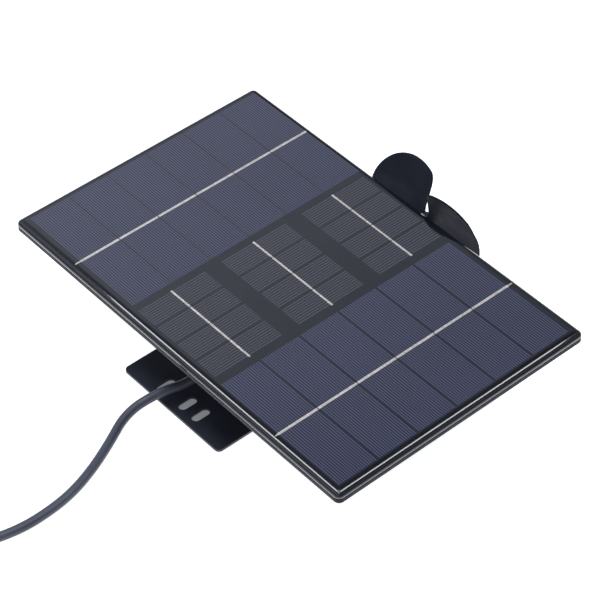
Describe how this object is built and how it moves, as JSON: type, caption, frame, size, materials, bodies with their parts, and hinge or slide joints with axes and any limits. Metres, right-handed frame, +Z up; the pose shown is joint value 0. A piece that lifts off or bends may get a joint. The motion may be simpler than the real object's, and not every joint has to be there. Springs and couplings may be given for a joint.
{
  "type": "solar fan unit",
  "caption": "Flat rectangular solar panel on a slotted bracket, with a three-bladed propeller on a small motor beyond its far edge and an output lead.",
  "frame": {"origin": "point on the base plate's underside directly below the centre of the panel", "axes": "+X along the panel's long side, +Y from the side where the lead leaves towards the propeller, +Z up out of the cell face"},
  "size_m": [0.2816, 0.3516, 0.077],
  "materials": {
    "gloss_resin": "high gloss black potted face with a rounded rim",
    "array_cells": "slate-blue silicon under clear gloss resin, fine light fingers",
    "module_cells": "grey silicon under clear gloss resin, fine light fingers",
    "ribbon": "tinned flat ribbon",
    "seal_rubber": "matt",
    "black_shell": "moulded, semi-gloss",
    "black_steel": "satin black powder coat",
    "fan_plastic": "satin moulded black",
    "motor_steel": "plated",
    "brass": "turned",
    "copper": "bare copper",
    "magnet": "sintered",
    "board": "solder mask",
    "fastener": "black zinc",
    "lead_jacket": "slate grey satin jacket"
  },
  "bodies": {
    "frame": {"resin_face": "gloss_resin", "left_array_cells": "array_cells", "right_array_cells": "array_cells", "near_module_cells": "module_cells", "middle_module_cells": "module_cells", "far_module_cells": "module_cells", "left_array_ribbon": "ribbon", "right_array_ribbon": "ribbon", "near_module_ribbon": "ribbon", "middle_module_ribbon": "ribbon", "far_module_ribbon": "ribbon", "edge_seal": "seal_rubber", "back_shell": "black_shell", "panel_screws": "fastener", "circuit_board": "board", "blocking_diode": "black_shell", "base_plate": "black_steel", "riser_screws": "fastener", "riser_nuts": "fastener", "riser_bracket": "black_steel", "motor_can": "motor_steel", "motor_end_bell": "fan_plastic", "front_bush": "brass", "rear_bush": "brass", "magnets": "magnet", "brushes": "copper", "motor_cradle": "black_steel", "cradle_screws": "fastener", "terminal_box": "black_shell", "terminal_box_lid": "black_shell", "lid_screws": "fastener", "terminal_block": "black_shell", "wire_conduit": "black_shell", "cable_gland": "black_shell", "cable_boot": "lead_jacket", "lead_inner_end": "lead_jacket", "motor_lead": "lead_jacket", "output_lead": "lead_jacket", "lead_coil": "lead_jacket", "lead_tail": "lead_jacket", "plug_grip": "lead_jacket", "plug_barrel": "motor_steel"},
    "fan_rotor": {"motor_shaft": "motor_steel", "rotor_core": "motor_steel", "rotor_windings": "copper", "commutator": "copper", "propeller": "fan_plastic", "retaining_collar": "brass"}
  },
  "joints": [
    {"name": "fan_spin", "type": "hinge", "parent": "frame", "child": "fan_rotor", "pos_m": [0.001, 0.0919, 0.0413], "axis": [0, 1, 0], "continuous": true}
  ]
}
